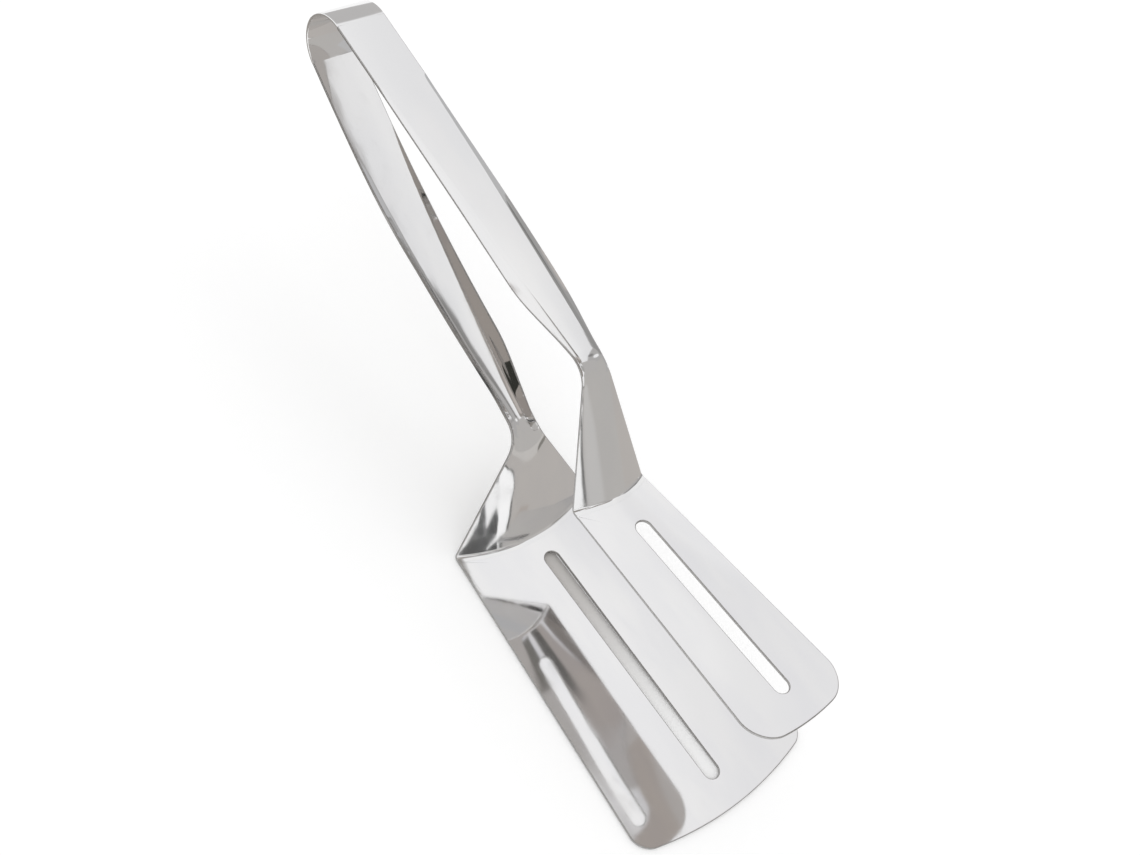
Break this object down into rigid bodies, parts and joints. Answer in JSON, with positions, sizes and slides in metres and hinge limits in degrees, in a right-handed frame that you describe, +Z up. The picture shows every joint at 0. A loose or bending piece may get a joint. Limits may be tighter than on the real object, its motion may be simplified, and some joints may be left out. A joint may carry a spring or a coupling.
{
  "type": "barbecue tongs",
  "caption": "Sprung spatula tongs in polished steel sheet: a U-shaped bow, channelled arms, and a narrow slotted blade that closes on a wide slotted blade.",
  "frame": {"origin": "centre of the bounding box's bottom, on the surface that the tongs lie on", "axes": "+X runs along the wide blade from the bow to the blades' ends, +Y runs across the tongs, +Z is up, from the wide rear blade towards the narrow front blade"},
  "size_m": [0.2596, 0.0732, 0.1018],
  "materials": {
    "polished_steel": "mirror-polished stainless steel sheet",
    "blade_steel": "mirror-polished stainless steel sheet"
  },
  "bodies": {
    "rear_half": {"rear_arm": "polished_steel", "rear_neck": "polished_steel", "rear_blade": "blade_steel", "spring_bow": "polished_steel"},
    "front_half": {"front_arm": "polished_steel", "front_neck": "polished_steel", "front_blade": "blade_steel"}
  },
  "joints": [
    {"name": "squeeze", "type": "hinge", "parent": "rear_half", "child": "front_half", "pos_m": [-0.11814, 0, 0.0901], "axis": [0, 1, 0], "range_deg": [0, 14], "stiffness_Nm_per_rad": 3, "springref_deg": -1.11, "deforming": ["spring_bow"]}
  ]
}
